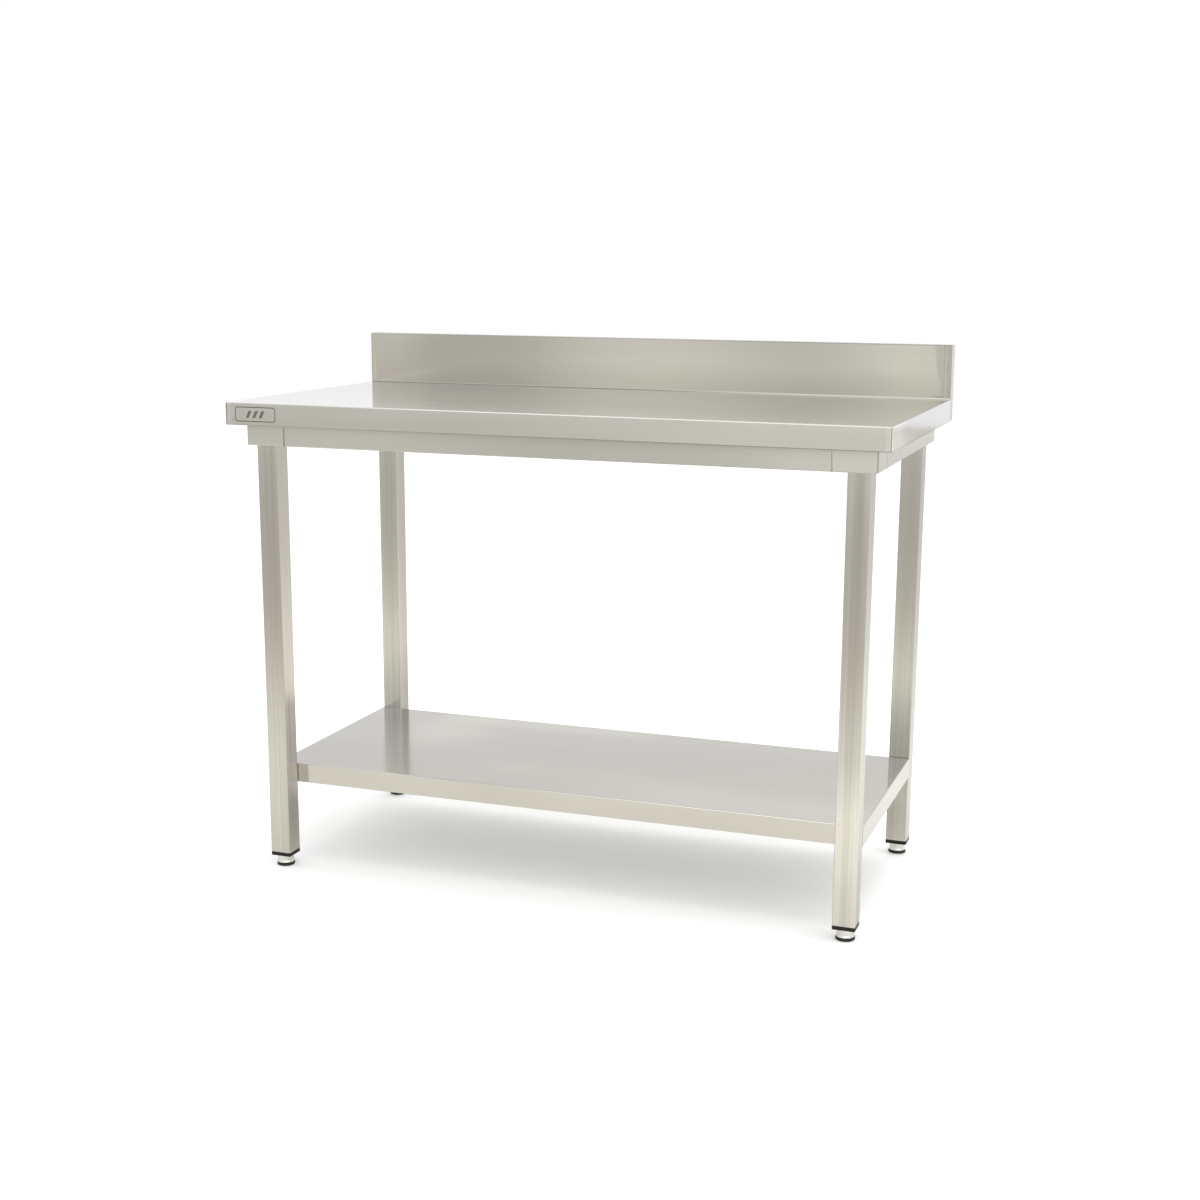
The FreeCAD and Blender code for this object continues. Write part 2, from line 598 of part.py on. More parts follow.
# ---------------------------------------------------------------------------
doc.recompute()
bad = []
for item in doc.Objects:
    state = list(item.State)
    if "Invalid" in state or "Error" in state:
        bad.append("%s: %s" % (item.Name, state))
bodies = [o for o in doc.Objects if o.TypeId == "PartDesign::Body"]
for body in bodies:
    if body.Shape.isNull():
        bad.append(body.Label + ": no shape")
    elif not body.Shape.isValid():
        bad.append(body.Label + ": not valid")
    elif not body.Shape.Solids:
        bad.append(body.Label + ": no solid")
if bad:
    raise RuntimeError("; ".join(bad))

os.makedirs("parts", exist_ok=True)
for body in bodies:
    body.Shape.exportStep("parts/%s.step" % body.Label)
    box_ = body.Shape.BoundBox
    print("%-32s solids %2d  volume %11.1f  x %8.2f %8.2f  y %8.2f %8.2f  z %8.2f %8.2f" % (
        body.Label, len(body.Shape.Solids), body.Shape.Volume,
        box_.XMin, box_.XMax, box_.YMin, box_.YMax, box_.ZMin, box_.ZMax))
print(len(bodies), "sub-parts")
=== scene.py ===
import math

import bpy
from mathutils import Matrix, Vector

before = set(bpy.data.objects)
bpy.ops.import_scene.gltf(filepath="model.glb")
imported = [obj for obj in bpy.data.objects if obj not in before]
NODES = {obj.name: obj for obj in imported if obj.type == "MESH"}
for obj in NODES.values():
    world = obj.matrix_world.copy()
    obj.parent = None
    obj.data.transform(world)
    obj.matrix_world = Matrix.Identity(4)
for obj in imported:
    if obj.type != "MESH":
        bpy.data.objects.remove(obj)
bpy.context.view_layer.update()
scene = bpy.context.scene
CORNERS = ("front_left", "front_right", "rear_right", "rear_left")


# --------------------------------------------------------------------------
# Camera
def add_camera():
    az, el, roll = (math.radians(v) for v in (19.83, 12.21, 0.28))
    back = Vector((math.sin(az) * math.cos(el), -math.cos(az) * math.cos(el), math.sin(el)))
    right = Vector((0, 0, 1)).cross(back).normalized()
    up = back.cross(right)
    r = right * math.cos(roll) + up * math.sin(roll)
    u = up * math.cos(roll) - right * math.sin(roll)
    data = bpy.data.cameras.new("camera")
    data.sensor_width = 36.0
    data.sensor_fit = "HORIZONTAL"
    data.lens = 52.9725
    data.shift_x = 0.00323
    data.shift_y = 0.02967
    data.clip_start = 0.05
    data.clip_end = 60.0
    cam = bpy.data.objects.new("camera", data)
    m = Matrix.Identity(4)
    for i in range(3):
        m[i][0], m[i][1], m[i][2] = r[i], u[i], back[i]
    m.translation = Vector((1.10301, -3.06085, 1.14306))
    cam.matrix_world = m
    scene.collection.objects.link(cam)
    scene.camera = cam


add_camera()


# --------------------------------------------------------------------------
# Node helpers
class Tree:
    """Short calls for building a node tree."""

    def __init__(self, tree):
        self.t = tree
        self.t.nodes.clear()

    def node(self, kind, **props):
        n = self.t.nodes.new(kind)
        for k, v in props.items():
            setattr(n, k, v)
        return n

    def put(self, socket, value):
        if isinstance(value, bpy.types.NodeSocket):
            self.t.links.new(value, socket)
        else:
            socket.default_value = value

    def math(self, op, *values, clamp=False):
        n = self.node("ShaderNodeMath", operation=op, use_clamp=clamp)
        for s, v in zip(n.inputs, values):
            self.put(s, v)
        return n.outputs[0]

    def smooth(self, value, low, high, a=0.0, b=1.0):
        n = self.node("ShaderNodeMapRange", interpolation_type="SMOOTHSTEP")
        for name, v in (("Value", value), ("From Min", low), ("From Max", high), ("To Min", a), ("To Max", b)):
            self.put(n.inputs[name], v)
        return n.outputs[0]

    def linear(self, value, low, high, a=0.0, b=1.0):
        n = self.node("ShaderNodeMapRange", interpolation_type="LINEAR")
        for name, v in (("Value", value), ("From Min", low), ("From Max", high), ("To Min", a), ("To Max", b)):
            self.put(n.inputs[name], v)
        return n.outputs[0]

    def mix(self, fac, a, b):
        n = self.node("ShaderNodeMix", data_type="RGBA")
        self.put(n.inputs[0], fac)
        self.put(n.inputs[6], a)
        self.put(n.inputs[7], b)
        return n.outputs[2]

    def scaled(self, vector, scale):
        n = self.node("ShaderNodeMapping")
        self.put(n.inputs["Vector"], vector)
        n.inputs["Scale"].default_value = scale
        return n.outputs[0]

    def noise(self, vector, detail=2.0, rough=0.5, scale=1.0, distortion=0.0):
        n = self.node("ShaderNodeTexNoise")
        self.put(n.inputs["Vector"], vector)
        n.inputs["Scale"].default_value = scale
        n.inputs["Detail"].default_value = detail
        n.inputs["Roughness"].default_value = rough
        n.inputs["Distortion"].default_value = distortion
        return n.outputs["Fac"]

    def band(self, value, low, high, soft=0.0001):
        """1 between low and high."""
        return self.math("MULTIPLY", self.smooth(value, low - soft, low + soft),
                         self.smooth(value, high + soft, high - soft))

    def both(self, *masks):
        out = masks[0]
        for m in masks[1:]:
            out = self.math("MULTIPLY", out, m)
        return out

    def either(self, *masks):
        out = masks[0]
        for m in masks[1:]:
            out = self.math("MAXIMUM", out, m)
        return out

    def parts(self, vector):
        n = self.node("ShaderNodeSeparateXYZ")
        self.put(n.inputs[0], vector)
        return n.outputs[0], n.outputs[1], n.outputs[2]

    def tone(self, colour, mask, value):
        """Multiply a colour by value where the mask is 1."""
        k = self.math("ADD", 1.0, self.math("MULTIPLY", mask, self.math("SUBTRACT", value, 1.0)))
        n = self.node("ShaderNodeVectorMath", operation="SCALE")
        self.put(n.inputs[0], colour)
        self.put(n.inputs["Scale"], k)
        return n.outputs[0]

    def bump(self, height, strength, distance, normal=None):
        n = self.node("ShaderNodeBump")
        n.inputs["Strength"].default_value = strength
        n.inputs["Distance"].default_value = distance
        self.put(n.inputs["Height"], height)
        if normal is not None:
            self.put(n.inputs["Normal"], normal)
        return n.outputs[0]


def new_material(name):
    mat = bpy.data.materials.new(name)
    mat.use_nodes = True
    t = Tree(mat.node_tree)
    out = t.node("ShaderNodeOutputMaterial")
    bsdf = t.node("ShaderNodeBsdfPrincipled")
    t.t.links.new(bsdf.outputs[0], out.inputs[0])
    coord = t.node("ShaderNodeTexCoord").outputs["Object"]
    return mat, t, bsdf, coord


def rgb(r, g, b):
    return (r, g, b, 1.0)


# --------------------------------------------------------------------------
# Brushed stainless steel. The grain runs along one axis; the blur of the
# reflection runs across it.
def steel(name, grain, colour, rough=0.30, aniso=0.82, streak=1.0, wave=1.0, turned="Z", extra=None):
    """turned is the grain of the faces that the main grain would stand out of,
    such as a sheet's folded-down ends."""
    mat, t, bsdf, coord = new_material(name)
    main, other = "XYZ".index(grain), "XYZ".index(turned)
    geo = t.node("ShaderNodeNewGeometry")
    facing = t.node("ShaderNodeSeparateXYZ")
    t.put(facing.inputs[0], geo.outputs["True Normal"])
    fold = t.math("GREATER_THAN", t.math("ABSOLUTE", facing.outputs[main]), 0.72)

    def along(wide, narrow):
        """Object coordinates stretched along the grain of the face."""
        scales = []
        for axis in (main, other):
            v = [wide] * 3
            v[axis] = narrow
            scales.append(v)
        pick = t.node("ShaderNodeMix", data_type="VECTOR")
        t.put(pick.inputs[0], fold)
        t.put(pick.inputs[4], t.scaled(coord, scales[0]))
        t.put(pick.inputs[5], t.scaled(coord, scales[1]))
        return pick.outputs[1]

    f = t.noise(along(900.0, 5.0), 2.0, 0.6)
    b = t.noise(along(110.0, 0.9), 3.0, 0.55)
    w = t.noise(along(9.0, 1.3), 1.0, 0.5)
    shade = t.math("ADD", t.math("MULTIPLY", t.math("SUBTRACT", f, 0.5), 0.16 * streak),
                   t.math("MULTIPLY", t.math("SUBTRACT", b, 0.5), 0.12 * streak))
    dark = rgb(*[c * 0.93 for c in colour])
    light = rgb(*[min(c * 1.07, 1.0) for c in colour])
    base = t.mix(t.math("ADD", shade, 0.5, clamp=True), dark, light)
    r = t.math("ADD", rough, t.math("ADD", t.math("MULTIPLY", t.math("SUBTRACT", f, 0.5), 0.10 * streak),
                                    t.math("MULTIPLY", t.math("SUBTRACT", b, 0.5), 0.08 * streak)))
    n1 = t.bump(w, 0.35 * wave, 0.0012)
    n2 = t.bump(f, 0.10 * streak, 0.00006, n1)
    more = {}
    if extra:
        base, r, n2, *rest = extra(t, coord, base, r, n2)
        more = rest[0] if rest else {}
    for socket, value in more.items():
        t.put(bsdf.inputs[socket], value)
    t.put(bsdf.inputs["Base Color"], base)
    t.put(bsdf.inputs["Roughness"], r)
    t.put(bsdf.inputs["Normal"], n2)
    bsdf.inputs["Metallic"].default_value = 1.0
    bsdf.inputs["Anisotropic"].default_value = aniso
    # tangent = face normal x grain, so the wide side of the lobe lies across the grain
    pick = t.node("ShaderNodeMix", data_type="VECTOR")
    t.put(pick.inputs[0], fold)
    pick.inputs[4].default_value = [1.0 if i == main else 0.0 for i in range(3)]
    pick.inputs[5].default_value = [1.0 if i == other else 0.0 for i in range(3)]
    cross = t.node("ShaderNodeVectorMath", operation="CROSS_PRODUCT")
    t.put(cross.inputs[0], geo.outputs["Normal"])
    t.put(cross.inputs[1], pick.outputs[1])
    t.put(bsdf.inputs["Tangent"], cross.outputs[0])
    return mat


STEEL = (0.650, 0.634, 0.598)


def black_plastic(name, rough=0.50, grain=1400.0, colour=(0.0105, 0.0090, 0.0085)):
    mat, t, bsdf, coord = new_material(name)
    f = t.noise(t.scaled(coord, (grain,) * 3), 3.0, 0.6)
    w = t.noise(t.scaled(coord, (60.0,) * 3), 2.0, 0.5)
    t.put(bsdf.inputs["Base Color"], t.mix(w, rgb(*[c * 0.8 for c in colour]), rgb(*[c * 1.5 for c in colour])))
    t.put(bsdf.inputs["Roughness"], t.math("ADD", rough - 0.06, t.math("MULTIPLY", f, 0.12)))
    t.put(bsdf.inputs["Normal"], t.bump(f, 0.25, 0.00008))
    bsdf.inputs["Specular IOR Level"].default_value = 0.28
    return mat


def rubber(name):
    mat, t, bsdf, coord = new_material(name)
    f = t.noise(t.scaled(coord, (1800.0,) * 3), 3.0, 0.6)
    dust = t.noise(t.scaled(coord, (90.0,) * 3), 3.0, 0.6)
    t.put(bsdf.inputs["Base Color"], t.mix(t.smooth(dust, 0.45, 0.75), rgb(0.010, 0.010, 0.010), rgb(0.030, 0.029, 0.027)))
    t.put(bsdf.inputs["Roughness"], t.math("ADD", 0.62, t.math("MULTIPLY", f, 0.2)))
    t.put(bsdf.inputs["Normal"], t.bump(f, 0.3, 0.0001))
    return mat


def chipboard(name):
    mat, t, bsdf, coord = new_material(name)
    v = t.node("ShaderNodeTexVoronoi")
    t.put(v.inputs["Vector"], t.scaled(coord, (260.0, 420.0, 420.0)))
    v.inputs["Scale"].default_value = 1.0
    grey = t.node("ShaderNodeSeparateColor")
    t.put(grey.inputs[0], v.outputs["Color"])
    n = t.noise(t.scaled(coord, (900.0,) * 3), 3.0, 0.6)
    c = t.mix(grey.outputs[0], rgb(0.38, 0.29, 0.20), rgb(0.61, 0.51, 0.38))
    c = t.mix(t.math("MULTIPLY", n, 0.35), c, rgb(0.25, 0.19, 0.13))
    t.put(bsdf.inputs["Base Color"], c)
    bsdf.inputs["Roughness"].default_value = 0.75
    t.put(bsdf.inputs["Normal"], t.bump(n, 0.4, 0.0003))
    return mat


def zinc(name):
    mat, t, bsdf, coord = new_material(name)
    f = t.noise(t.scaled(coord, (700.0,) * 3), 3.0, 0.6)
    t.put(bsdf.inputs["Base Color"], t.mix(f, rgb(0.50, 0.50, 0.50), rgb(0.66, 0.66, 0.64)))
    t.put(bsdf.inputs["Roughness"], t.math("ADD", 0.26, t.math("MULTIPLY", f, 0.15)))
    t.put(bsdf.inputs["Normal"], t.bump(f, 0.15, 0.0001))
    bsdf.inputs["Metallic"].default_value = 1.0
    return mat


def turned_steel(name, centre):
    """Fine lathe rings round a vertical axis; thread ridges on the stem."""
    mat, t, bsdf, coord = new_material(name)
    sep = t.node("ShaderNodeSeparateXYZ")
    t.put(sep.inputs[0], coord)
    rings = t.noise(t.scaled(coord, (4.0, 4.0, 2600.0)), 2.0, 0.6)
    turns = t.math("SINE", t.math("MULTIPLY", sep.outputs[2], 2 * math.pi / 0.0015))
    stem = t.smooth(sep.outputs[2], 0.0222, 0.0224)
    t.put(bsdf.inputs["Base Color"], t.mix(rings, rgb(0.80, 0.80, 0.80), rgb(0.92, 0.92, 0.92)))
    t.put(bsdf.inputs["Roughness"], t.math("ADD", 0.20, t.math("MULTIPLY", rings, 0.10)))
    n1 = t.bump(rings, 0.12, 0.00008)
    t.put(bsdf.inputs["Normal"], t.bump(t.math("MULTIPLY", turns, stem), 0.9, 0.0004, n1))
    bsdf.inputs["Metallic"].default_value = 1.0
    bsdf.inputs["Anisotropic"].default_value = 0.6
    tangent = t.node("ShaderNodeCombineXYZ")
    tangent.inputs[2].default_value = 1.0
    t.put(bsdf.inputs["Tangent"], tangent.outputs[0])
    return mat


def paint(node, mat):
    data = NODES[node].data
    data.materials.clear()
    data.materials.append(mat)




def uneven(t, coord, base, r, normal, scale=(3.0, 3.0, 3.0), amount=0.06):
    """Broad, faint clouds in the polish."""
    n = t.noise(t.scaled(coord, scale), 2.0, 0.5)
    return t.tone(base, 1.0, t.linear(n, 0.25, 0.75, 1.0 - amount, 1.0 + amount))


def badge(t, u, v):
    """A small neutral mark: rounded frame with three leaning bars."""
    half_u, half_v, round_ = 0.0400, 0.0125, 0.0050
    qu = t.math("SUBTRACT", t.math("ABSOLUTE", u), half_u - round_)
    qv = t.math("SUBTRACT", t.math("ABSOLUTE", v), half_v - round_)
    pu, pv = t.math("MAXIMUM", qu, 0.0), t.math("MAXIMUM", qv, 0.0)
    out = t.math("SQRT", t.math("ADD", t.math("MULTIPLY", pu, pu), t.math("MULTIPLY", pv, pv)))
    ins = t.math("MINIMUM", t.math("MAXIMUM", qu, qv), 0.0)
    d = t.math("SUBTRACT", t.math("ADD", out, ins), round_)
    frame_line = t.smooth(t.math("ABSOLUTE", d), 0.00085, 0.00045)
    lean = t.math("SUBTRACT", u, t.math("MULTIPLY", v, 0.5))
    tall = t.smooth(t.math("ABSOLUTE", v), 0.0066, 0.0060)
    bars = t.either(*[t.both(tall, t.smooth(t.math("ABSOLUTE", t.math("SUBTRACT", lean, c)), w, w - 0.0004))
                      for c, w in ((-0.0130, 0.0032), (0.0, 0.0032), (0.0130, 0.0032))])
    return t.either(frame_line, t.math("MULTIPLY", bars, 0.75))


def worktop_finish(t, coord, base, r, normal):
    """Uneven polish, painted reflection, light and shade, ground weld zones, painted bend highlights and seam lines of
    the worktop.
    """
    x, y, z = t.parts(coord)
    geo = t.node("ShaderNodeNewGeometry")
    nx, ny, nz = t.parts(geo.outputs["True Normal"])
    ax = t.math("ABSOLUTE", x)
    front = t.both(t.smooth(y, -0.2980, -0.2990), t.smooth(z, 0.8830, 0.8810))
    side = t.both(t.smooth(ax, 0.5982, 0.5990), t.smooth(z, 0.8830, 0.8810))
    upstand = t.both(t.smooth(z, 0.8812, 0.8832), t.smooth(y, 0.2785, 0.2770))
    plane = t.both(t.smooth(nz, 0.85, 0.97), t.smooth(z, 0.8830, 0.8812), t.smooth(z, 0.8780, 0.8794))

    # painted reflection on the upstand: lighter and darker zones along it with wandering borders, in a warmer tint
    drift = t.noise(t.scaled(coord, (2.2, 2.2, 9.0)), 2.0, 0.5)
    across = t.math("ADD", x, t.math("MULTIPLY", t.math("SUBTRACT", drift, 0.5), 0.16))
    ramp = t.node("ShaderNodeValToRGB")
    t.put(ramp.inputs[0], t.linear(across, -0.6, 0.6))
    upstand_reflection_stops = ((0.0, 0.88), (0.05, 0.84), (0.11, 0.69), (0.25, 0.67), (0.34, 0.76), (0.44, 0.86), (0.56, 0.84),
             (0.68, 0.73), (0.78, 0.65), (0.88, 0.74), (0.94, 0.82), (1.0, 0.72))
    ramp.color_ramp.interpolation = "B_SPLINE"
    while len(ramp.color_ramp.elements) < len(upstand_reflection_stops):
        ramp.color_ramp.elements.new(0.5)
    for e, (pos, v) in zip(ramp.color_ramp.elements, upstand_reflection_stops):
        e.position = pos
        e.color = (v, v, v, 1.0)
    level = t.node("ShaderNodeSeparateColor")
    t.put(level.inputs[0], ramp.outputs[0])
    base = t.tone(base, upstand, level.outputs[0])
    warm = t.node("ShaderNodeVectorMath", operation="MULTIPLY")
    t.put(warm.inputs[0], base)
    t.put(warm.inputs[1], t.mix(upstand, rgb(1, 1, 1), rgb(1.0, 0.982, 0.935)))
    base = warm.outputs[0]
    # painted shade: the top strip of the upstand is darker, and its edge tint is darkened in the returned Specular
    # Tint
    top_strip_shade = t.smooth(z, 0.9772, 0.9790)
    base = t.tone(base, top_strip_shade, 0.80)

    # worktop surface: clouds along the grain; painted light, brighter towards the front edge and the left; painted
    # reflection, darker and bluer at the far left
    cloud = t.noise(t.scaled(coord, (1.6, 5.0, 1.0)), 2.0, 0.5)
    base = t.tone(base, plane, t.linear(cloud, 0.3, 0.7, 0.965, 1.035))
    base = t.tone(base, plane, t.math("MULTIPLY", t.linear(y, 0.25, -0.28, 0.98, 1.08),
                                      t.linear(x, -0.25, 0.35, 1.16, 0.87)))
    far_left_reflection_tint = t.node("ShaderNodeVectorMath", operation="MULTIPLY")
    t.put(far_left_reflection_tint.inputs[0], base)
    t.put(far_left_reflection_tint.inputs[1], t.mix(t.both(plane, t.smooth(x, -0.05, -0.45)), rgb(1, 1, 1), rgb(0.90, 0.91, 0.95)))
    base = far_left_reflection_tint.outputs[0]

    # ground welds at both ends of the upstand and at the fascia's corners
    brush = t.noise(t.scaled(coord, (420.0, 420.0, 9.0)), 2.0, 0.6)
    wander = t.noise(t.scaled(coord, (0.1, 0.1, 26.0)), 1.0, 0.5)
    edge_at = t.math("ADD", t.linear(z, 0.98, 0.88, 0.560, 0.577), t.math("MULTIPLY", wander, 0.008))
    right_weld = t.both(upstand, t.smooth(t.math("SUBTRACT", x, edge_at), 0.0, 0.0040))
    left_weld = t.both(upstand, t.smooth(x, -0.5880, -0.5900))
    weld = t.either(right_weld, left_weld)
    base = t.tone(base, right_weld, t.linear(brush, 0.3, 0.7, 0.72, 1.05))
    base = t.tone(base, left_weld, t.linear(brush, 0.3, 0.7, 1.00, 1.16))
    base = t.tone(base, t.both(upstand, t.smooth(ax, 0.5972, 0.5980)), 0.72)
    base = t.tone(base, t.both(front, t.band(ax, 0.5890, 0.5972, 0.0006)), t.linear(brush, 0.3, 0.7, 0.99, 1.10))
    base = t.tone(base, t.both(front, t.band(ax, 0.5974, 0.5988, 0.0003)), 0.42)
    r = t.math("ADD", r, t.math("MULTIPLY", t.either(weld, t.both(front, t.smooth(ax, 0.5880, 0.5895))), 0.12))

    # painted shade along the lower edge of the fascia, the dark joint with the end caps, and painted shade and
    # highlight on the fold below the upstand
    base = t.tone(base, t.both(t.either(front, side), t.smooth(z, 0.8413, 0.8408)), t.smooth(x, -0.5, 0.2, 0.70, 0.46))
    base = t.tone(base, t.both(side, t.smooth(y, 0.2730, 0.2737)), 0.45)
    # painted shade on the fold below the upstand at the left, a painted highlight on it at the right
    crease = t.both(t.band(z, 0.8796, 0.8815, 0.0002), t.band(y, 0.2734, 0.2760, 0.0002))
    base = t.tone(base, crease, t.smooth(x, -0.10, 0.35, 0.52, 1.08))
    # painted highlight along the bend of the front edge, dimmed at the left and stronger to the right
    base = t.tone(base, t.both(t.smooth(y, -0.2978, -0.2984), t.smooth(nz, 0.25, 0.40), t.smooth(nz, 0.90, 0.80)),
                  t.smooth(x, -0.50, -0.15, 0.85, 1.42))
    grey = t.noise(t.scaled(coord, (3.0, 1.0, 11.0)), 2.0, 0.5)
    base = t.tone(base, front, t.linear(grey, 0.3, 0.7, 0.965, 1.035))
    # painted light on the fascia at the right end: cooler, and paler towards the front and towards its lower edge
    right_end_light_tint = t.node("ShaderNodeVectorMath", operation="MULTIPLY")
    t.put(right_end_light_tint.inputs[0], base)
    t.put(right_end_light_tint.inputs[1], t.mix(t.both(side, t.smooth(x, 0.0, 0.1)), rgb(1, 1, 1), rgb(0.985, 0.995, 1.04)))
    base = t.tone(right_end_light_tint.outputs[0], t.both(side, t.smooth(x, 0.0, 0.1)), t.smooth(y, -0.16, -0.27, 1.0, 1.44))
    base = t.tone(base, t.both(side, t.smooth(x, 0.0, 0.1), t.smooth(y, -0.04, -0.20)), t.smooth(z, 0.870, 0.848, 1.0, 1.26))
    base = t.tone(base, t.both(upstand, t.band(x, 0.5700, 0.5860, 0.0008), t.band(z, 0.8838, 0.8850, 0.0002)), 0.45)

    # the mark at the left end of the fascia
    mark = t.both(front, badge(t, t.math("ADD", x, 0.5400), t.math("SUBTRACT", z, 0.8600)))
    base = t.tone(base, mark, 0.13)
    # the darker edge tint of the top strip is painted shade
    return base, r, normal, {"Specular Tint": t.mix(top_strip_shade, rgb(1, 1, 1), rgb(0.66, 0.65, 0.64))}


def rail_finish(axis):
    """Dark joint lines at the rail's ends, faint clouds, and painted shade along the long rails; axis 0 runs along X,
    1 along Y.
    """
    def extra(t, coord, base, r, normal):
        p = t.parts(coord)
        a = t.math("ABSOLUTE", p[axis])
        end = 0.4983 if axis == 0 else 0.1983
        base = uneven(t, coord, base, r, normal, (1.4, 6.0, 6.0) if axis == 0 else (6.0, 1.4, 6.0), 0.03)
        # painted shade over the middle and right of the long rails, easing near the right end
        if axis == 0:
            base = t.tone(base, 1.0, t.math("MULTIPLY", t.smooth(p[0], -0.42, 0.05, 1.0, 0.855), t.smooth(p[0], 0.28, 0.48, 1.0, 1.13)))
        return t.tone(base, t.smooth(a, end - 0.0011, end - 0.0007), 0.36), r, normal
    return extra


def bracket_finish(t, coord, base, r, normal):
    """Dark joint lines beside the rails and a ground line down the corner."""
    x, y, z = t.parts(coord)
    geo = t.node("ShaderNodeNewGeometry")
    nx, ny, nz = (t.math("ABSOLUTE", v) for v in t.parts(geo.outputs["True Normal"]))
    ax, ay = t.math("ABSOLUTE", x), t.math("ABSOLUTE", y)
    face_y, face_x = t.smooth(ny, 0.6, 0.9), t.smooth(nx, 0.6, 0.9)
    lines = t.either(t.both(face_y, t.smooth(ax, 0.5000, 0.4996)), t.both(face_x, t.smooth(ay, 0.2000, 0.1996)))
    base = t.tone(base, lines, 0.38)
    corner = t.both(t.smooth(ax, 0.5716, 0.5721), t.smooth(ay, 0.2716, 0.2721), t.smooth(nz, 0.6, 0.3))
    return t.tone(base, corner, 0.50), r, normal


def painted_side_light(t, coord, base, least, value):
    """Painted light: paler, cooler colour on the faces that look out at the table's right end."""
    geo = t.node("ShaderNodeNewGeometry")
    x = t.parts(coord)[0]
    nx = t.parts(geo.outputs["True Normal"])[0]
    n = t.node("ShaderNodeVectorMath", operation="MULTIPLY")
    t.put(n.inputs[0], base)
    t.put(n.inputs[1], t.mix(t.both(t.smooth(nx, 0.6, 0.9), t.smooth(x, least, least + 0.01)), rgb(1, 1, 1), value))
    return n.outputs[0]


def leg_finish(t, coord, base, r, normal):
    """Long lengthwise streaks of different width, with painted shade and painted light on the lower legs."""
    x, y, z = t.parts(coord)
    wide = t.noise(t.scaled(coord, (55.0, 55.0, 0.5)), 1.0, 0.5)
    thin = t.noise(t.scaled(coord, (260.0, 260.0, 1.2)), 2.0, 0.6)
    low = t.smooth(z, 0.60, 0.30, 1.0, 1.7)
    base = t.tone(base, low, t.linear(wide, 0.3, 0.7, 0.94, 1.06))
    base = t.tone(base, low, t.linear(thin, 0.3, 0.7, 0.95, 1.05))
    geo = t.node("ShaderNodeNewGeometry")
    nx, ny, nz = t.parts(geo.outputs["True Normal"])
    inward = t.smooth(t.math("MULTIPLY", nx, t.math("SIGN", x)), -0.6, -0.9)
    # painted shade on the rear legs just above the shelf, painted light on them lower down towards the floor
    rear = t.both(t.smooth(y, 0.15, 0.20), t.either(t.smooth(ny, -0.6, -0.9), inward))
    base = t.tone(base, t.both(rear, t.smooth(z, 0.190, 0.192)), t.smooth(z, 0.21, 0.37, 0.72, 1.0))
    base = t.tone(base, t.both(rear, t.smooth(z, 0.192, 0.190)), t.smooth(z, 0.190, 0.11, 0.72, 1.18))
    # painted light: the lower front face of the front right leg is paler
    near = t.both(t.smooth(y, -0.15, -0.20), t.smooth(x, 0.0, 0.1), t.smooth(ny, -0.6, -0.9))
    base = t.tone(base, t.both(near, t.smooth(z, 0.33, 0.20)), t.smooth(z, 0.08, 0.16, 1.14, 1.22))
    # painted light on the faces that look out at the right end
    base = painted_side_light(t, coord, base, 0.545, rgb(1.11, 1.14, 1.22))
    r = t.math("ADD", r, t.linear(wide, 0.3, 0.7, -0.02, 0.03))
    return base, r, normal


def shelf_finish(t, coord, base, r, normal):
    """Clouds in the polish, painted pools of reflected light and a painted highlight along the front fold."""
    x, y, z = t.parts(coord)
    cloud = t.noise(t.scaled(coord, (2.6, 4.0, 1.0)), 2.0, 0.5)
    base = t.tone(base, 1.0, t.linear(cloud, 0.3, 0.7, 0.965, 1.035))
    # painted reflection: a bright pool at the rear left, a brighter area at the rear left and middle, and one at the
    # front right
    geo = t.node("ShaderNodeNewGeometry")
    flat = t.smooth(t.parts(geo.outputs["True Normal"])[2], 0.9, 0.97)
    away = t.math("SQRT", t.math("ADD", t.math("POWER", t.math("ADD", x, 0.36), 2.0),
                                 t.math("MULTIPLY", t.math("POWER", t.math("SUBTRACT", y, 0.08), 2.0), 0.6)))
    base = t.tone(base, flat, t.smooth(away, 0.14, 0.02, 0.962, 1.06))
    rear = t.both(t.smooth(y, 0.12, 0.215), t.smooth(x, -0.44, -0.34), t.smooth(x, 0.10, -0.05))
    base = t.tone(base, t.both(flat, rear), 1.15)
    base = t.tone(base, t.both(flat, t.smooth(y, -0.04, -0.19), t.smooth(x, 0.0, 0.25)), 1.11)
    # painted highlight along the front fold, brighter towards the right
    fold = t.both(t.band(z, 0.1948, 0.1957, 0.0002), t.smooth(y, -0.2185, -0.2195))
    base = t.tone(base, fold, t.smooth(x, -0.2, 0.3, 0.98, 1.52))
    # painted light on the faces that look out at the right end
    return painted_side_light(t, coord, base, 0.55, rgb(1.11, 1.14, 1.26)), r, normal


top_steel = steel("worktop_steel", "X", STEEL, rough=0.13, extra=worktop_finish)
cap_steel = steel("end_cap_steel", "Z", STEEL, turned="Y", rough=0.22)
rail_long = steel("rail_steel_long", "X", STEEL, extra=rail_finish(0))
rail_short = steel("rail_steel_short", "Y", STEEL, extra=rail_finish(1))
bracket_steel = steel("bracket_steel", "X", STEEL, turned="Y", extra=bracket_finish)
leg_steel = steel("leg_steel", "Z", STEEL, turned="X", rough=0.22, streak=1.5, extra=leg_finish)
shelf_steel = steel("shelf_steel", "X", STEEL, rough=0.135, extra=shelf_finish)
brace_steel = steel("stiffener_steel", "X", STEEL, rough=0.34)
bar_steel = steel("crossbar_steel", "Y", STEEL, rough=0.34)
plug_mat = black_plastic("plug_plastic")
pad_mat = rubber("foot_rubber")
foot_mat = turned_steel("foot_steel", None)
zinc_mat = zinc("fastener_zinc")
board_mat = chipboard("board_chips")

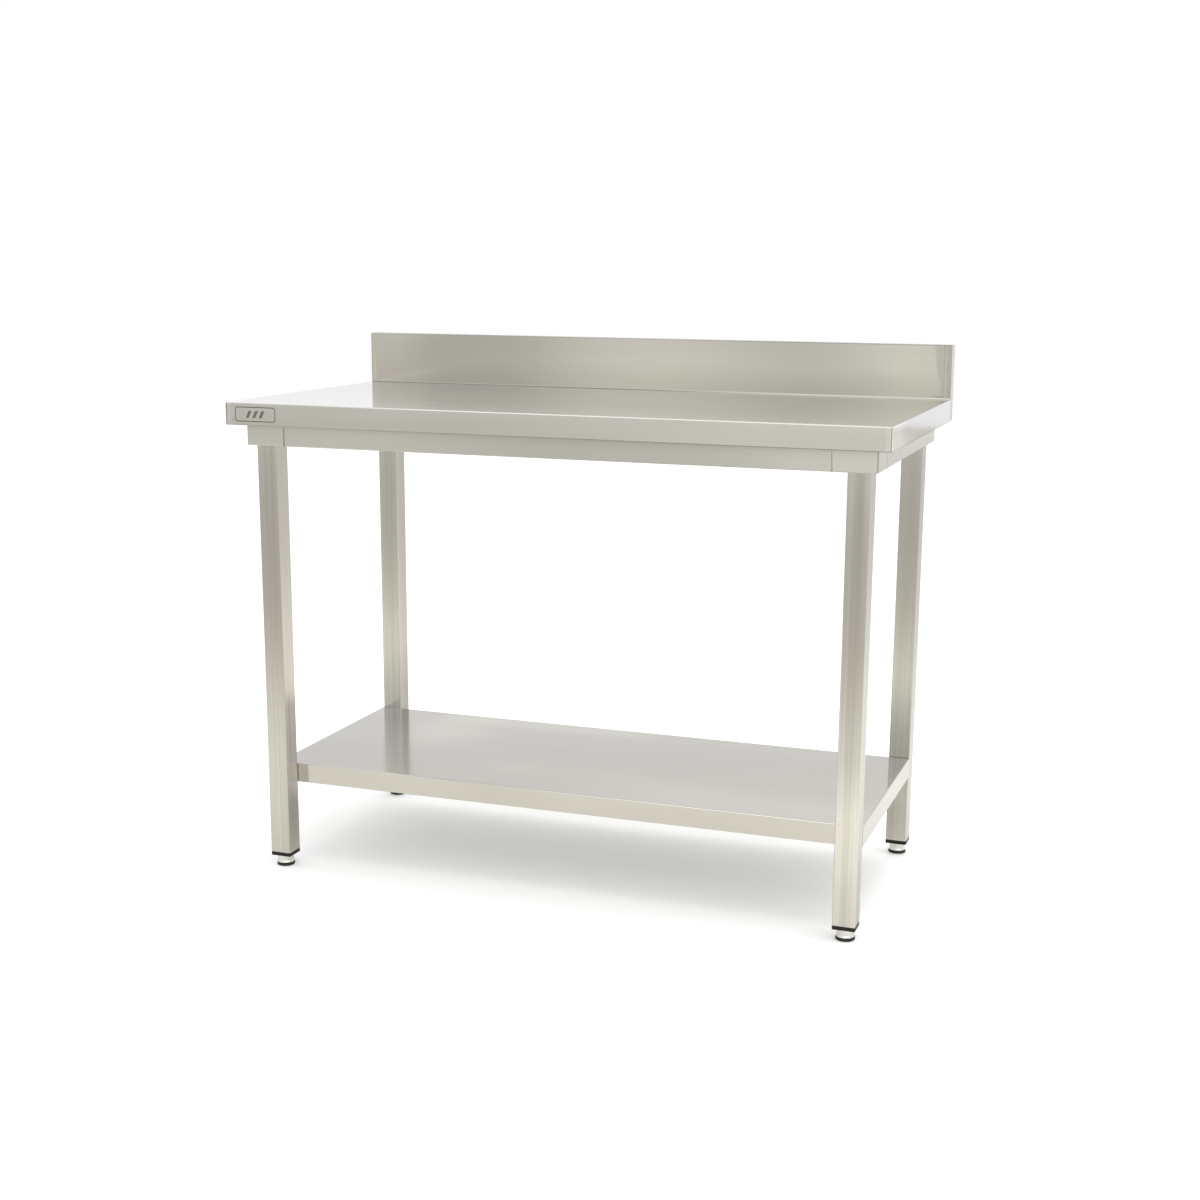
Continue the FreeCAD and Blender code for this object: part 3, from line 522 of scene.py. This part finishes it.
paint("worktop_sheet", top_steel)
for side in ("left", "right"):
    paint("upstand_end_cap_" + side, cap_steel)
paint("core_board", board_mat)
for n in ("front_rail", "rear_rail"):
    paint(n, rail_long)
for n in ("left_rail", "right_rail"):
    paint(n, rail_short)
for c in CORNERS:
    paint("corner_bracket_" + c, bracket_steel)
    paint("leg_" + c, leg_steel)
    paint("leg_end_plug_" + c, plug_mat)
    paint("foot_pad_" + c, pad_mat)
    paint("foot_spindle_" + c, foot_mat)
paint("top_crossbar", bar_steel)
paint("shelf_sheet", shelf_steel)
paint("shelf_stiffener", brace_steel)
for n in ("foot_thread_inserts", "rail_board_screws", "bracket_board_screws", "crossbar_screws",
          "bracket_weld_nuts", "leg_clamp_screws", "shelf_bolts", "shelf_washers", "shelf_rivet_nuts"):
    paint(n, zinc_mat)


# --------------------------------------------------------------------------
# Floor and light
def add_floor():
    mesh = bpy.data.meshes.new("floor")
    s = 9.0
    mesh.from_pydata([(-s, -s, 0), (s, -s, 0), (s, s, 0), (-s, s, 0)], [], [(0, 1, 2, 3)])
    floor = bpy.data.objects.new("floor", mesh)
    floor.location.z = -0.0004
    scene.collection.objects.link(floor)
    mat = bpy.data.materials.new("floor_white")
    mat.use_nodes = True
    t = Tree(mat.node_tree)
    out = t.node("ShaderNodeOutputMaterial")
    path = t.node("ShaderNodeLightPath")
    coord = t.node("ShaderNodeTexCoord").outputs["Object"]
    sep = t.node("ShaderNodeSeparateXYZ")
    t.put(sep.inputs[0], coord)
    grit = t.noise(t.scaled(coord, (6.0, 6.0, 6.0)), 3.0, 0.5)
    # polished metal sees the floor darker and warmer away from the table
    x, y = sep.outputs[0], sep.outputs[1]
    front = t.smooth(y, -2.6, -0.9, 0.0, 1.0)
    back = t.smooth(y, 0.6, 3.0, 0.0, 1.0)
    tint = t.mix(front, rgb(0.470, 0.453, 0.410), rgb(0.70, 0.690, 0.632))
    tint = t.mix(back, tint, rgb(0.612, 0.592, 0.550))
    white = rgb(0.995, 1.0, 1.012)
    tint = t.mix(path.outputs["Is Glossy Ray"], white, tint)

    def times(colour, value):
        n = t.node("ShaderNodeVectorMath", operation="SCALE")
        t.put(n.inputs[0], colour)
        t.put(n.inputs["Scale"], value)
        return n.outputs[0]

    diffuse = t.node("ShaderNodeBsdfDiffuse")
    t.put(diffuse.inputs["Color"], times(tint, t.linear(grit, 0.0, 1.0, 0.86, 0.88)))
    glow = t.node("ShaderNodeEmission")
    t.put(glow.inputs["Color"], times(tint, 1.0))
    glow.inputs["Strength"].default_value = 0.22
    add = t.node("ShaderNodeAddShader")
    t.put(add.inputs[0], diffuse.outputs[0])
    t.put(add.inputs[1], glow.outputs[0])
    t.put(out.inputs[0], add.outputs[0])
    mesh.materials.append(mat)


def add_world():
    world = bpy.data.worlds.new("studio")
    scene.world = world
    world.use_nodes = True
    t = Tree(world.node_tree)
    out = t.node("ShaderNodeOutputWorld")
    coord = t.node("ShaderNodeTexCoord").outputs["Generated"]
    sep = t.node("ShaderNodeSeparateXYZ")
    t.put(sep.inputs[0], coord)
    x, y, z = sep.outputs[0], sep.outputs[1], sep.outputs[2]
    # behind: white to the left, a little darker and warmer to the right
    level = t.mix(t.smooth(z, 0.10, 0.30), rgb(1.08, 1.08, 1.09), rgb(0.80, 0.79, 0.78))
    low = t.mix(t.smooth(x, 0.28, 0.50), level, rgb(0.76, 0.735, 0.68))
    # in front: warm and brighter towards the right
    sideways = t.smooth(x, -0.50, -0.08)
    ahead = t.mix(sideways, rgb(0.90, 0.90, 0.88), rgb(1.32, 1.33, 1.29))
    col = t.mix(t.smooth(y, 0.15, -0.45), low, ahead)
    col = t.mix(t.smooth(x, 0.55, 0.85), col, rgb(1.40, 1.39, 1.40))
    col = t.mix(t.smooth(x, 0.86, 0.96), col, rgb(0.84, 0.83, 0.80))
    col = t.mix(t.smooth(x, -0.86, -0.96), col, rgb(0.78, 0.77, 0.75))
    col = t.mix(t.smooth(z, 0.25, 0.75), col, rgb(1.25, 1.25, 1.24))
    col = t.mix(t.smooth(z, 0.70, 0.95), col, rgb(0.95, 0.95, 0.94))
    light = t.node("ShaderNodeBackground")
    t.put(light.inputs["Color"], col)
    light.inputs["Strength"].default_value = 1.0
    plain = t.node("ShaderNodeBackground")
    plain.inputs["Color"].default_value = rgb(1, 1, 1)
    plain.inputs["Strength"].default_value = 1.0
    path = t.node("ShaderNodeLightPath")
    mixer = t.node("ShaderNodeMixShader")
    t.put(mixer.inputs[0], path.outputs["Is Camera Ray"])
    t.put(mixer.inputs[1], light.outputs[0])
    t.put(mixer.inputs[2], plain.outputs[0])
    t.put(out.inputs[0], mixer.outputs[0])


def add_area(name, place, target, size_x, size_y, power, colour=(1, 1, 1)):
    data = bpy.data.lights.new(name, "AREA")
    data.shape = "RECTANGLE"
    data.size, data.size_y = size_x, size_y
    data.energy = power
    data.color = colour
    lamp = bpy.data.objects.new(name, data)
    lamp.location = place
    lamp.rotation_euler = (Vector(target) - Vector(place)).to_track_quat("-Z", "Y").to_euler()
    scene.collection.objects.link(lamp)
    return lamp


add_floor()
add_world()
softbox = add_area("softbox_top", (0.3, 0.2, 3.0), (0, 0, 0), 3.0, 2.4, 60.0)
softbox.visible_glossy = False

scene.view_settings.view_transform = "Standard"
scene.view_settings.look = "None"
scene.view_settings.exposure = 0.0
scene.view_settings.gamma = 1.0
